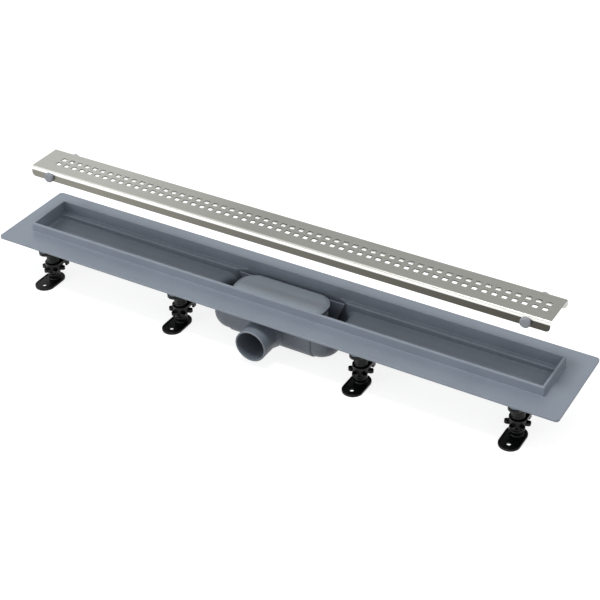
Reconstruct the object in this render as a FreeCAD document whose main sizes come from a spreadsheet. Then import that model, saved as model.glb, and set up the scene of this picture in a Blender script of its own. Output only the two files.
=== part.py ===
import FreeCAD, Part
import math
import os
import re

import Sketcher

# Channel drain: a one-piece moulded tray with a central trap, a lifted perforated grate and eight feet
# X runs along the channel, Y across it with the outlet towards minus Y, and Z up from the floor

# Driving sizes, in millimetres, and what each one measures
DRIVING_SIZES = (
    ("channel_length", 847.5, "inside the upstand, along"),
    ("channel_width", 75.5, "inside the upstand, across"),
    ("tray_wall", 3, "moulded wall of the tray"),
    ("flange_end_margin", 36.45, "sealing flange beyond the upstand, at each end"),
    ("flange_side_margin", 38.3, "sealing flange beyond the upstand, along each side"),
    ("flange_top", 76, "flange face above the floor, with the feet as drawn"),
    ("flange_thickness", 3.6, "sealing flange"),
    ("flange_corner", 6, "corner radius of the flange"),
    ("upstand_height", 15, "rim above the flange face"),
    ("rim_round", 2, "outer edge of the rim"),
    ("ledge_depth", 4, "ledge that carries the grate, below the flange face"),
    ("trough_width", 58, "trough between the ledges"),
    ("trough_depth", 11, "trough floor at its ends, below the flange face"),
    ("trough_slope", 0.00932, "fall of the trough floor towards the sump, per length"),
    ("trough_round", 4, "inner edges of the trough floor"),
    ("sump_length", 204, "sump inside, along"),
    ("sump_corner", 28, "plan corners of the sump, inside"),
    ("sump_underside", 4, "underside of the sump above the floor"),
    ("sump_round", 21, "rounding between the sump walls and its floor, inside"),
    ("roll_over", 12, "rounding where the trough floor turns down into the sump"),
    ("panel_length", 138, "raised panel on the front of the sump"),
    ("panel_offset", 3, "middle of the panel from the outlet"),
    ("panel_rise", 1.6, "panel proud of the sump wall"),
    ("outlet_height", 35.7, "outlet axis above the floor"),
    ("outlet_diameter", 50, "outside of the outlet spigot"),
    ("outlet_wall", 2.4, "wall of the outlet spigot"),
    ("outlet_reach", 89, "mouth of the spigot from the middle of the channel"),
    ("root_diameter", 61, "flared root of the spigot, at the sump wall"),
    ("root_length", 15, "flared root of the spigot, out from the sump wall"),
    ("root_blend", 14, "rounding between the flare and the spigot"),
    ("feet_offset", 2, "middle of the four feet in a row from the outlet"),
    ("outer_foot_margin", 33.25, "outer feet in from the ends of the upstand"),
    ("inner_foot_margin", 48.5, "inner feet out from the ends of the sump"),
    ("foot_margin", 1.05, "stem axes out from the sides of the upstand"),
    ("boss_radius", 9, "bosses under the tray that the brackets bear on"),
    ("boss_spacing", 15.2, "bosses from the stem axis, each way"),
    ("peg_radius", 3, "locating peg under the inner boss"),
    ("peg_length", 4, "locating peg below its boss"),
    ("fit_clearance", 0.15, "all round a peg, a screw or a clip in its hole"),
    ("bracket_drop", 17, "top face of the bracket below the flange face"),
    ("bracket_plate", 4.5, "top plate of the bracket"),
    ("bracket_half_width", 10.3, "top plate and web of the bracket"),
    ("bracket_web", 3, "web of the bracket and its two cheeks"),
    ("web_depth", 7, "cheeks of the bracket, front to back"),
    ("web_clearance", 0.7, "cheeks behind the tips of the nut's lugs"),
    ("web_skirt", 10.3, "web below the lower arm"),
    ("arm_drop", 44.4, "upper face of the lower arm below the flange face"),
    ("arm_thickness", 5, "lower arm of the bracket"),
    ("arm_radius", 12.8, "lower arm round the stem"),
    ("nut_height", 7.4, "hub of the adjusting nut"),
    ("nut_radius", 11.9, "hub of the adjusting nut"),
    ("nut_reach", 18.4, "tips of the nut's lugs"),
    ("lug_height", 4.6, "lugs of the nut"),
    ("lug_half_width", 3.9, "lugs of the nut"),
    ("lug_count", 6, "lugs of the nut"),
    ("thread_radius", 9.9, "crests of the thread on the foot's stem"),
    ("thread_depth", 0.6, "core of the stem inside the crests of its thread"),
    ("thread_clearance", 0.3, "all round the crests in the nut and the arm"),
    ("stem_headroom", 7, "above the stem, under the top plate of the bracket"),
    ("stem_root", 2, "rounding between the stem and the foot plate"),
    ("sole_radius", 15.9, "rounded ends of the foot plate"),
    ("sole_offset", 24.3, "outer end centre of the foot plate from the stem axis"),
    ("sole_thickness", 3.2, "foot plate with its rim"),
    ("sole_recess", 0.9, "foot plate inside its rim"),
    ("sole_rim", 2, "rim of the foot plate"),
    ("sole_round", 0.8, "top edge of the foot plate"),
    ("anchor_radius", 3.1, "anchor hole in the foot plate"),
    ("anchor_offset", 26.5, "anchor hole from the stem axis"),
    ("screw_radius", 2.1, "bracket screw"),
    ("screw_length", 9, "bracket screw above the top plate"),
    ("screw_head_radius", 4, "pan head of the bracket screw"),
    ("screw_head_height", 2.6, "pan head of the bracket screw"),
    ("insert_wall", 2, "walls of the trap insert"),
    ("insert_side_gap", 5.75, "between the insert and the sump, at each side"),
    ("insert_end_gap", 12.5, "between the insert and the sump, at each end of its top"),
    ("insert_rake", 11.8, "long walls of the insert shorter below the rake, at each end"),
    ("insert_rake_height", 38, "foot of the raked ends above the floor"),
    ("insert_drop", 3.6, "top of the insert below the ledges"),
    ("weir_spacing", 90, "between the weirs of the insert"),
    ("weir_height", 50, "top of the weirs above the floor"),
    ("ring_clearance", 0.4, "between the insert's outlet ring and the bore"),
    ("ring_reach", 10, "front of the outlet ring from the insert's long wall"),
    ("seal_thickness", 2, "rubber seal under the cover"),
    ("cover_end_gap", 26, "between the cover and the sump, at each end"),
    ("cover_side_gap", 0.4, "cover inside the faces of the insert's long walls"),
    ("cover_end_flat", 3.6, "straight middle of the cover's ends, each way"),
    ("cover_plate", 2.2, "rim of the trap cover"),
    ("cover_crown", 2.6, "crown of the trap cover above its rim"),
    ("crown_inset", 5.6, "slope of the crown in from the edge"),
    ("skirt_inset", 2.4, "bell skirt inside the edge of the cover"),
    ("skirt_wall", 2.5, "walls of the bell and its crown"),
    ("skirt_bottom", 23, "lower edge of the bell skirt above the floor"),
    ("side_skirt", 7, "bell skirt along the long sides, below the plate"),
    ("window_end", 24, "bell skirt at full depth, at each end of the cover"),
    ("grate_end_gap", 1.75, "between the grate and the upstand, at each end"),
    ("button_gap", 0.6, "between the grate's buttons and the upstand"),
    ("grate_sheet", 1.5, "steel sheet of the grate"),
    ("grate_bend", 3, "inside radius of the folds"),
    ("grate_depth", 16.8, "grate from its face to the edge of the skirts"),
    ("grate_lift", 99.25, "grate above its seat, lifted out as drawn"),
    ("grate_end_round", 6, "lower corners of the skirts"),
    ("slot_size", 9.4, "side of each square hole"),
    ("slot_count", 56, "square holes in a row"),
    ("slot_left_margin", 33.2, "first hole from the left end of the grate"),
    ("slot_right_margin", 17.3, "last hole from the right end of the grate"),
    ("row_spacing", 14.2, "between the two rows"),
    ("row_offset", 0.3, "middle of the two rows from the middle of the grate"),
    ("button_margin", 33.5, "grate buttons from the ends of the grate"),
    ("button_radius", 7.75, "grate button"),
    ("button_depth", 5.5, "grate button off the skirt"),
    ("button_dome", 2.5, "rounded face of the grate button"),
    ("button_drop", 1.55, "grate button below the edge of the skirt"),
    ("clip_radius", 3, "shank of the grate button"),
    ("clip_head", 4.4, "retaining head of the grate button, radius"),
    ("clip_height", 1.4, "retaining head of the grate button"),
)

# The floor, and the middle of the channel both ways, are the part's own origin
MIDDLE = "0"
FLOOR = "0"

# Heights above the floor that several pieces share
RIM_TOP = "(flange_top + upstand_height)"
LEDGE_TOP = "(flange_top - ledge_depth)"
TROUGH_END = "(flange_top - trough_depth)"
SUMP_FLOOR = "(sump_underside + tray_wall)"
BRACKET_TOP = "(flange_top - bracket_drop)"
BRACKET_SOFFIT = f"({BRACKET_TOP} - bracket_plate)"
ARM_TOP = "(flange_top - arm_drop)"
ARM_SOFFIT = f"({ARM_TOP} - arm_thickness)"
NUT_UNDERSIDE = f"({ARM_SOFFIT} - nut_height)"
STEM_TOP = f"({BRACKET_SOFFIT} - stem_headroom)"
INSERT_TOP = f"({LEDGE_TOP} - insert_drop)"
SEAL_TOP = f"({INSERT_TOP} + seal_thickness)"
GRATE_EDGE = f"({LEDGE_TOP} + button_drop + grate_lift)"
GRATE_TOP = f"({GRATE_EDGE} + grate_depth)"
BUTTON_HEIGHT = f"({GRATE_EDGE} - button_drop + button_radius)"

# Lengths and widths that several pieces share
TRAY_HALF_LENGTH = "(channel_length / 2 + tray_wall)"
TRAY_HALF_WIDTH = "(channel_width / 2 + tray_wall)"
SUMP_HALF_LENGTH = "(sump_length / 2 + tray_wall)"
SUMP_STRAIGHT = "(sump_length / 2 - sump_corner)"
BORE_RADIUS = "(outlet_diameter / 2 - outlet_wall)"
INSERT_LENGTH = "(sump_length - 2 * insert_end_gap)"
INSERT_WIDTH = "(channel_width - 2 * insert_side_gap)"
COVER_LENGTH = "(sump_length - 2 * cover_end_gap)"
COVER_WIDTH = f"({INSERT_WIDTH} - 2 * cover_side_gap)"
COVER_CORNER = f"({COVER_WIDTH} / 2 - cover_end_flat)"
GRATE_LENGTH = "(channel_length - 2 * grate_end_gap)"
GRATE_WIDTH = "(channel_width - 2 * (button_depth + button_gap))"
BUTTON_REACH = f"({GRATE_LENGTH} / 2 - button_margin)"
STEM_RADIUS = "(thread_radius - thread_depth)"
THREAD_HOLE = "(thread_radius + thread_clearance)"

# The trough floor falls evenly to the sump's edge, and runs on to meet the sump's rounded corners
TROUGH_LOW = f"({TROUGH_END} - trough_slope * ({TRAY_HALF_LENGTH} - {SUMP_HALF_LENGTH}))"
BED_LOW = f"({TROUGH_LOW} - trough_slope * sump_corner)"

# The feet stand in two rows, front and rear, at the same four places along the channel
OUTER_FOOT = f"({TRAY_HALF_LENGTH} - outer_foot_margin)"
INNER_FOOT = f"({SUMP_HALF_LENGTH} + inner_foot_margin)"
STATIONS = (
    f"feet_offset - {OUTER_FOOT}", f"feet_offset - {INNER_FOOT}",
    f"feet_offset + {INNER_FOOT}", f"feet_offset + {OUTER_FOOT}",
)
FOOT_LINE = f"({TRAY_HALF_WIDTH} + foot_margin)"
ROWS = (("front", f"-{FOOT_LINE}", 0), ("rear", FOOT_LINE, 180))

# Degrees by which levelling left the nuts turned, and a full turn
NUT_TURN = -11
FULL_TURN = 360

# Slack allowed when edges are picked by their place, and the least volume that counts as a cut
PICK_SLACK = 0.02
LEAST_CUT = 1e-3

document = FreeCAD.newDocument("channel_drain")
sheet = document.addObject("Spreadsheet::Sheet", "sizes")
for row, (alias, number, meaning) in enumerate(DRIVING_SIZES, start=1):
    sheet.set(f"A{row}", alias)
    sheet.set(f"B{row}", str(number))
    sheet.set(f"C{row}", meaning)
    sheet.setAlias(f"B{row}", alias)
document.recompute()

sub_parts = []


def in_sheet(text):
    """Return an expression in which each size is looked up in the sheet."""
    return re.sub(r"[a-z]+(?:_[a-z]+)+", r"sizes.\g<0>", text)


def value(text):
    """Return the number that an expression of sizes gives now."""
    return float(sheet.evalExpression(in_sheet(text)))


def bind(item, path, text):
    """Tie one property of an object to an expression of sizes."""
    item.setExpression(path, in_sheet(text))


def new_body(label):
    """Start a sub-part whose label names its file."""
    body = document.addObject("PartDesign::Body", label)
    body.Label = label
    sub_parts.append(body)
    return body


def place(body, across, along=MIDDLE, turn=0):
    """Set a sub-part down at a place on the plan, turned about the upright."""
    body.Placement = FreeCAD.Placement(
        FreeCAD.Vector(), FreeCAD.Rotation(FreeCAD.Vector(0, 0, 1), turn)
    )
    bind(body, "Placement.Base.x", along)
    bind(body, "Placement.Base.y", across)


def new_sketch(body, name, plane, level):
    """Start a sketch parallel to one of the body's own planes, at a level along its normal."""
    sketch = body.newObject("Sketcher::SketchObject", name)
    support = [item for item in body.Origin.OriginFeatures if item.Role == plane][0]
    sketch.AttachmentSupport = (support, "")
    sketch.MapMode = "FlatFace"
    bind(sketch, "AttachmentOffset.Base.z", level)
    return sketch


def fix(sketch, kind, geometry, point, text):
    """Hold one coordinate of a sketch point at an expression of sizes."""
    index = sketch.addConstraint(
        Sketcher.Constraint(kind, -1, 1, geometry, point, value(text))
    )
    bind(sketch, f"Constraints[{index}]", text)


def fix_radius(sketch, geometry, text):
    """Hold the radius of a circle or an arc at an expression of sizes."""
    index = sketch.addConstraint(Sketcher.Constraint("Radius", geometry, value(text)))
    bind(sketch, f"Constraints[{index}]", text)


def draw_circle(sketch, x, y, radius):
    """Draw a circle."""
    centre = FreeCAD.Vector(value(x), value(y), 0)
    circle = Part.Circle(centre, FreeCAD.Vector(0, 0, 1), value(radius))
    index = sketch.addGeometry(circle, False)
    fix(sketch, "DistanceX", index, 3, x)
    fix(sketch, "DistanceY", index, 3, y)
    fix_radius(sketch, index, radius)


def draw_slot(sketch, x, y_low, y_high, radius):
    """Draw a round-ended slot along the sketch's upright."""
    middle, reach = value(x), value(radius)
    low, high = value(y_low), value(y_high)
    up = FreeCAD.Vector(0, 0, 1)
    top = sketch.addGeometry(
        Part.ArcOfCircle(Part.Circle(FreeCAD.Vector(middle, high, 0), up, reach), 0, math.pi), False
    )
    bottom = sketch.addGeometry(
        Part.ArcOfCircle(
            Part.Circle(FreeCAD.Vector(middle, low, 0), up, reach), math.pi, 2 * math.pi
        ),
        False,
    )
    left = sketch.addGeometry(
        Part.LineSegment(
            FreeCAD.Vector(middle - reach, high, 0), FreeCAD.Vector(middle - reach, low, 0)
        ),
        False,
    )
    right = sketch.addGeometry(
        Part.LineSegment(
            FreeCAD.Vector(middle + reach, low, 0), FreeCAD.Vector(middle + reach, high, 0)
        ),
        False,
    )
    for first, first_end, second, second_end in (
        (top, 2, left, 1), (left, 2, bottom, 1), (bottom, 2, right, 1), (right, 2, top, 1)
    ):
        sketch.addConstraint(
            Sketcher.Constraint("Tangent", first, first_end, second, second_end)
        )
    for arc, height in ((top, y_high), (bottom, y_low)):
        fix(sketch, "DistanceX", arc, 3, x)
        fix(sketch, "DistanceY", arc, 3, height)
    fix_radius(sketch, top, radius)


def draw_polygon(sketch, corners):
    """Draw a closed outline of straight lines through the given corners."""
    points = [FreeCAD.Vector(value(x), value(y), 0) for x, y in corners]
    first = sketch.GeometryCount
    for start, end in zip(points, points[1:] + points[:1]):
        sketch.addGeometry(Part.LineSegment(start, end), False)
    for number, (x, y) in enumerate(corners):
        line = first + number
        after = first + (number + 1) % len(corners)
        sketch.addConstraint(Sketcher.Constraint("Coincident", line, 2, after, 1))
        fix(sketch, "DistanceX", line, 1, x)
        fix(sketch, "DistanceY", line, 1, y)


def draw_outline(sketch, corners):
    """Draw a closed outline of level and upright lines.

    Each corner is x, y and a radius, or None for a sharp corner.
    """
    count = len(corners)
    points = [FreeCAD.Vector(value(x), value(y), 0) for x, y, _ in corners]
    radii = [value(radius) if radius else 0 for _, _, radius in corners]
    ways = [(points[(i + 1) % count] - points[i]).normalize() for i in range(count)]
    starts = [points[i] - ways[i - 1] * radii[i] for i in range(count)]
    ends = [points[i] + ways[i] * radii[i] for i in range(count)]
    lines = [
        sketch.addGeometry(Part.LineSegment(ends[i], starts[(i + 1) % count]), False)
        for i in range(count)
    ]
    for i, (x, y, radius) in enumerate(corners):
        if abs(ways[i].x) > abs(ways[i].y):
            sketch.addConstraint(Sketcher.Constraint("Horizontal", lines[i]))
            fix(sketch, "DistanceY", lines[i], 1, y)
        else:
            sketch.addConstraint(Sketcher.Constraint("Vertical", lines[i]))
            fix(sketch, "DistanceX", lines[i], 1, x)
        if not radius:
            sketch.addConstraint(Sketcher.Constraint("Coincident", lines[i - 1], 2, lines[i], 1))
            continue
        centre = starts[i] + ways[i] * radii[i]
        turns_left = ways[i - 1].cross(ways[i]).z > 0
        first, last = (starts[i], ends[i]) if turns_left else (ends[i], starts[i])
        angles = [math.atan2(p.y - centre.y, p.x - centre.x) for p in (first, last)]
        arc = sketch.addGeometry(
            Part.ArcOfCircle(
                Part.Circle(centre, FreeCAD.Vector(0, 0, 1), radii[i]), angles[0], angles[1]
            ),
            False,
        )
        near, far = (1, 2) if turns_left else (2, 1)
        sketch.addConstraint(Sketcher.Constraint("Tangent", lines[i - 1], 2, arc, near))
        sketch.addConstraint(Sketcher.Constraint("Tangent", arc, far, lines[i], 1))
        fix_radius(sketch, arc, radius)


def draw_rectangle(sketch, length, width, corner=None, x=MIDDLE, y=MIDDLE):
    """Draw a rectangle about a centre, with rounded corners where a radius is given."""
    left, right = f"{x} - ({length}) / 2", f"{x} + ({length}) / 2"
    low, high = f"{y} - ({width}) / 2", f"{y} + ({width}) / 2"
    draw_outline(
        sketch,
        [(left, low, corner), (right, low, corner), (right, high, corner), (left, high, corner)],
    )


def finish(body, feature):
    """Recompute a new feature and make it the body's tip."""
    body.Tip = feature
    document.recompute()
    return feature


def add_pad(body, name, sketch, length, both_ways=False, back=False):
    """Raise a sketch into a solid along its normal, about it, or back from it."""
    pad = body.newObject("PartDesign::Pad", name)
    pad.Profile = sketch
    pad.Midplane = both_ways
    pad.Reversed = back
    bind(pad, "Length", length)
    return finish(body, pad)


def add_pocket(body, name, sketch, length, both_ways=False, along=False):
    """Cut a sketch out of the body against its normal, about it, or along it."""
    before = body.Shape.Volume
    pocket = body.newObject("PartDesign::Pocket", name)
    pocket.Profile = sketch
    pocket.Midplane = both_ways
    pocket.Reversed = along
    bind(pocket, "Length", length)
    finish(body, pocket)
    if before - body.Shape.Volume < LEAST_CUT:
        raise RuntimeError(f"{body.Label}: {name} cuts nothing")
    return pocket


def add_loft(body, name, first, last):
    """Join two sketches with straight sides."""
    loft = body.newObject("PartDesign::AdditiveLoft", name)
    loft.Profile = first
    loft.Sections = [last]
    loft.Ruled = True
    return finish(body, loft)


def add_fillet(body, name, radius, chosen):
    """Round the edges of the body that a test picks."""
    base = body.Tip
    edges = [f"Edge{i}" for i, edge in enumerate(base.Shape.Edges, start=1) if chosen(edge)]
    if not edges:
        raise RuntimeError(f"{body.Label}: {name} finds no edge")
    fillet = body.newObject("PartDesign::Fillet", name)
    fillet.Base = (base, edges)
    bind(fillet, "Radius", radius)
    return finish(body, fillet)


def cut_with(body, name, tool):
    """Cut the body with another body."""
    before = body.Shape.Volume
    cut = body.newObject("PartDesign::Boolean", name)
    cut.Type = "Cut"
    cut.setObjects([tool])
    finish(body, cut)
    if before - body.Shape.Volume < LEAST_CUT:
        raise RuntimeError(f"{body.Label}: {name} cuts nothing")
    return cut


def edge_between(low=None, high=None, least_x=None, most_x=None, least_y=None, most_y=None):
    """Return a test that picks edges inside a range of heights and places.

    The ranges in x and y are of distances from the middle.
    """
    def chosen(edge):
        """Tell whether an edge lies inside the ranges."""
        box = edge.BoundBox
        reach_x = max(abs(box.XMin), abs(box.XMax))
        near_x = 0 if box.XMin < 0 < box.XMax else min(abs(box.XMin), abs(box.XMax))
        reach_y = max(abs(box.YMin), abs(box.YMax))
        near_y = 0 if box.YMin < 0 < box.YMax else min(abs(box.YMin), abs(box.YMax))
        return (
            (low is None or box.ZMin > low - PICK_SLACK)
            and (high is None or box.ZMax < high + PICK_SLACK)
            and (least_x is None or near_x > least_x - PICK_SLACK)
            and (most_x is None or reach_x < most_x + PICK_SLACK)
            and (least_y is None or near_y > least_y - PICK_SLACK)
            and (most_y is None or reach_y < most_y + PICK_SLACK)
        )
    return chosen


def at_height(height):
    """Return a test that picks the edges that lie level at one height."""
    return edge_between(low=height, high=height)


def make_tray_core():
    """Shape the hollow of the tray: grate seat, sloping trough and sump, with their roundings."""
    core = document.addObject("PartDesign::Body", "tray_core")

    seat = new_sketch(core, "seat_outline", "XY_Plane", LEDGE_TOP)
    draw_rectangle(seat, "channel_length", "channel_width")
    add_pad(core, "grate_seat", seat, "ledge_depth + upstand_height")

    bed = new_sketch(core, "trough_bed", "XZ_Plane", MIDDLE)
    for side in ("-", ""):
        draw_polygon(bed, [
            (f"{side}channel_length / 2", TROUGH_END),
            (f"{side}{SUMP_STRAIGHT}", BED_LOW),
            (f"{side}{SUMP_STRAIGHT}", LEDGE_TOP),
            (f"{side}channel_length / 2", LEDGE_TOP),
        ])
    add_pad(core, "trough_bed_solid", bed, "trough_width", both_ways=True)
    beyond_sump = value("(sump_length - sump_corner) / 2")
    add_fillet(
        core, "trough_floor_rounding", "trough_round",
        edge_between(low=value(BED_LOW), high=value(TROUGH_END), least_x=beyond_sump),
    )

    pit = new_sketch(core, "sump_opening", "XY_Plane", SUMP_FLOOR)
    draw_rectangle(pit, "sump_length", "channel_width", "sump_corner")
    add_pad(core, "sump_solid", pit, f"{RIM_TOP} - {SUMP_FLOOR}")
    add_fillet(
        core, "trough_roll_over", "roll_over",
        edge_between(
            low=value(BED_LOW), high=value(TROUGH_LOW),
            least_x=value(SUMP_STRAIGHT), most_x=value("sump_length / 2"),
        ),
    )
    add_fillet(core, "sump_floor_rounding", "sump_round", at_height(value(SUMP_FLOOR)))
    return core


def make_channel_body():
    """Mould the tray: flange, upstand, ledges, sloping trough, sump and outlet in one piece."""
    body = new_body("channel_body")

    flange = new_sketch(body, "flange_outline", "XY_Plane", "flange_top")
    draw_rectangle(
        flange, f"2 * ({TRAY_HALF_LENGTH} + flange_end_margin)",
        f"2 * ({TRAY_HALF_WIDTH} + flange_side_margin)", "flange_corner",
    )
    add_pad(body, "flange", flange, "flange_thickness", back=True)

    upstand = new_sketch(body, "upstand_outline", "XY_Plane", f"{LEDGE_TOP} - tray_wall")
    draw_rectangle(upstand, f"2 * {TRAY_HALF_LENGTH}", f"2 * {TRAY_HALF_WIDTH}")
    add_pad(body, "upstand", upstand, f"{RIM_TOP} - {LEDGE_TOP} + tray_wall")
    add_fillet(body, "rim_rounding", "rim_round", at_height(value(RIM_TOP)))

    trough = new_sketch(body, "trough_outline", "XZ_Plane", MIDDLE)
    draw_polygon(trough, [
        (f"-{TRAY_HALF_LENGTH}", f"{TROUGH_END} - tray_wall"),
        (f"-{SUMP_STRAIGHT}", f"{BED_LOW} - tray_wall"),
        (SUMP_STRAIGHT, f"{BED_LOW} - tray_wall"),
        (TRAY_HALF_LENGTH, f"{TROUGH_END} - tray_wall"),
        (TRAY_HALF_LENGTH, "flange_top"),
        (f"-{TRAY_HALF_LENGTH}", "flange_top"),
    ])
    add_pad(body, "trough", trough, "trough_width + 2 * tray_wall", both_ways=True)

    sump = new_sketch(body, "sump_outline", "XY_Plane", "sump_underside")
    draw_rectangle(
        sump, f"2 * {SUMP_HALF_LENGTH}", f"2 * {TRAY_HALF_WIDTH}", "sump_corner + tray_wall"
    )
    add_pad(body, "sump", sump, "flange_top - sump_underside")
    add_fillet(
        body, "roll_over_outside", "roll_over - tray_wall",
        edge_between(
            low=value(f"{BED_LOW} - tray_wall"), high=value(f"{TROUGH_END} - tray_wall"),
            least_x=value(SUMP_STRAIGHT), most_x=value(SUMP_HALF_LENGTH),
        ),
    )
    add_fillet(
        body, "sump_bottom_rounding", "sump_round + tray_wall", at_height(value("sump_underside"))
    )

    panel = new_sketch(body, "panel_profile", "YZ_Plane", "panel_offset")
    draw_outline(panel, [
        (f"-{TRAY_HALF_WIDTH} - panel_rise", "sump_underside - panel_rise",
         "sump_round + tray_wall + panel_rise"),
        (MIDDLE, "sump_underside - panel_rise", None),
        (MIDDLE, "flange_top", None),
        (f"-{TRAY_HALF_WIDTH} - panel_rise", "flange_top", None),
    ])
    add_pad(body, "front_panel", panel, "panel_length", both_ways=True)

    wide = new_sketch(body, "root_wide_circle", "XZ_Plane", f"{TRAY_HALF_WIDTH} - tray_wall")
    draw_circle(wide, MIDDLE, "outlet_height", "root_diameter / 2")
    narrow = new_sketch(body, "root_narrow_circle", "XZ_Plane", f"{TRAY_HALF_WIDTH} + root_length")
    draw_circle(narrow, MIDDLE, "outlet_height", "outlet_diameter / 2")
    add_loft(body, "spigot_root", wide, narrow)
    spigot = new_sketch(body, "spigot_circle", "XZ_Plane", MIDDLE)
    draw_circle(spigot, MIDDLE, "outlet_height", "outlet_diameter / 2")
    add_pad(body, "outlet_spigot", spigot, "outlet_reach")
    meeting = value(f"{TRAY_HALF_WIDTH} + root_length")
    add_fillet(
        body, "root_rounding", "root_blend",
        lambda edge: edge.BoundBox.YLength < PICK_SLACK
        and abs(edge.BoundBox.YMin + meeting) < PICK_SLACK,
    )

    bosses = new_sketch(body, "boss_circles", "XY_Plane", BRACKET_TOP)
    pegs = new_sketch(body, "peg_circles", "XY_Plane", f"{BRACKET_TOP} - peg_length")
    for x in STATIONS:
        for side in ("", "-"):
            draw_circle(bosses, x, f"{side}({FOOT_LINE} + boss_spacing)", "boss_radius")
            draw_circle(bosses, x, f"{side}({FOOT_LINE} - boss_spacing)", "boss_radius")
            draw_circle(pegs, x, f"{side}({FOOT_LINE} - boss_spacing)", "peg_radius")
    add_pad(body, "bracket_bosses", bosses, f"flange_top - {BRACKET_TOP}")
    add_pad(body, "locating_pegs", pegs, "peg_length + tray_wall")

    cut_with(body, "tray_hollow", make_tray_core())

    bore = new_sketch(body, "outlet_bore_circle", "XZ_Plane", "outlet_reach")
    draw_circle(bore, MIDDLE, "outlet_height", BORE_RADIUS)
    add_pocket(body, "outlet_bore", bore, "outlet_reach - (channel_width / 2 - sump_round)")

    pilots = new_sketch(body, "pilot_circles", "XY_Plane", BRACKET_TOP)
    for x in STATIONS:
        for side in ("", "-"):
            draw_circle(
                pilots, x, f"{side}({FOOT_LINE} + boss_spacing)", "screw_radius + fit_clearance"
            )
    add_pocket(body, "screw_pilots", pilots, "screw_length + fit_clearance", along=True)
    return body


def make_trap_insert():
    """Mould the partition that stands in the sump: a raked channel with two weirs and a ring."""
    body = new_body("trap_insert")
    outer, inner = f"{INSERT_WIDTH} / 2", f"({INSERT_WIDTH} / 2 - insert_wall)"
    outer_round = "(sump_round - insert_side_gap)"

    section = new_sketch(body, "channel_section", "YZ_Plane", MIDDLE)
    draw_outline(section, [
        (f"-{outer}", SUMP_FLOOR, outer_round),
        (outer, SUMP_FLOOR, outer_round),
        (outer, INSERT_TOP, None),
        (inner, INSERT_TOP, None),
        (inner, f"{SUMP_FLOOR} + insert_wall", f"{outer_round} - insert_wall"),
        (f"-{inner}", f"{SUMP_FLOOR} + insert_wall", f"{outer_round} - insert_wall"),
        (f"-{inner}", INSERT_TOP, None),
        (f"-{outer}", INSERT_TOP, None),
    ])
    add_pad(body, "channel", section, INSERT_LENGTH, both_ways=True)

    rake = new_sketch(body, "rake_profile", "XZ_Plane", MIDDLE)
    for side in ("-", ""):
        draw_polygon(rake, [
            (f"{side}({INSERT_LENGTH} / 2 - insert_rake)", FLOOR),
            (f"{side}({INSERT_LENGTH} / 2 - insert_rake)", "insert_rake_height"),
            (f"{side}{INSERT_LENGTH} / 2", INSERT_TOP),
            (f"{side}({INSERT_LENGTH} / 2 + insert_wall)", INSERT_TOP),
            (f"{side}({INSERT_LENGTH} / 2 + insert_wall)", FLOOR),
        ])
    add_pocket(body, "raked_ends", rake, INSERT_WIDTH, both_ways=True)

    for side, sign in (("left", "-"), ("right", "")):
        weir = new_sketch(body, f"{side}_weir_section", "YZ_Plane", f"{sign}weir_spacing / 2")
        draw_outline(weir, [
            (f"-{inner}", SUMP_FLOOR, outer_round),
            (inner, SUMP_FLOOR, outer_round),
            (inner, "weir_height", None),
            (f"-{inner}", "weir_height", None),
        ])
        add_pad(body, f"{side}_weir", weir, "insert_wall", both_ways=True)

    ring = new_sketch(body, "outlet_ring_circle", "XZ_Plane", f"{inner} - insert_wall")
    draw_circle(ring, MIDDLE, "outlet_height", f"{BORE_RADIUS} - ring_clearance")
    add_pad(body, "outlet_ring", ring, "ring_reach + 2 * insert_wall")
    port = new_sketch(body, "outlet_port_circle", "XZ_Plane", f"{outer} + ring_reach")
    draw_circle(
        port, MIDDLE, "outlet_height", f"{BORE_RADIUS} - ring_clearance - insert_wall"
    )
    add_pocket(body, "outlet_port", port, f"ring_reach + {outer} / 2")
    return body


def make_trap_cover():
    """Mould the bell that closes the trap: a crowned plate with a skirt that dips at its ends."""
    body = new_body("trap_cover")
    plate = new_sketch(body, "plate_outline", "XY_Plane", SEAL_TOP)
    draw_rectangle(plate, COVER_LENGTH, COVER_WIDTH, COVER_CORNER)
    add_pad(body, "plate", plate, "cover_plate")
    foot = new_sketch(body, "crown_foot", "XY_Plane", f"{SEAL_TOP} + cover_plate")
    draw_rectangle(foot, COVER_LENGTH, COVER_WIDTH, COVER_CORNER)
    top = new_sketch(body, "crown_top", "XY_Plane", f"{SEAL_TOP} + cover_plate + cover_crown")
    draw_rectangle(
        top, f"{COVER_LENGTH} - 2 * crown_inset", f"{COVER_WIDTH} - 2 * crown_inset",
        f"{COVER_CORNER} - crown_inset",
    )
    add_loft(body, "crown", foot, top)

    skirt = new_sketch(body, "skirt_outline", "XY_Plane", "skirt_bottom")
    draw_rectangle(
        skirt, f"{COVER_LENGTH} - 2 * skirt_inset", f"{COVER_WIDTH} - 2 * skirt_inset",
        f"{COVER_CORNER} - skirt_inset",
    )
    add_pad(body, "skirt", skirt, f"{SEAL_TOP} - skirt_bottom")
    bell_top = f"({SEAL_TOP} + cover_plate + cover_crown - skirt_wall)"
    bell = new_sketch(body, "bell_outline", "XY_Plane", bell_top)
    draw_rectangle(
        bell, f"{COVER_LENGTH} - 2 * (skirt_inset + skirt_wall)",
        f"{COVER_WIDTH} - 2 * (skirt_inset + skirt_wall)",
        f"{COVER_CORNER} - skirt_inset - skirt_wall",
    )
    add_pocket(body, "bell_hollow", bell, f"{bell_top} - skirt_bottom")
    window = new_sketch(body, "window_outline", "XY_Plane", f"{SEAL_TOP} - side_skirt")
    draw_rectangle(window, f"{COVER_LENGTH} - 2 * window_end", COVER_WIDTH)
    add_pocket(body, "side_windows", window, f"{SEAL_TOP} - side_skirt - skirt_bottom")
    return body


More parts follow.
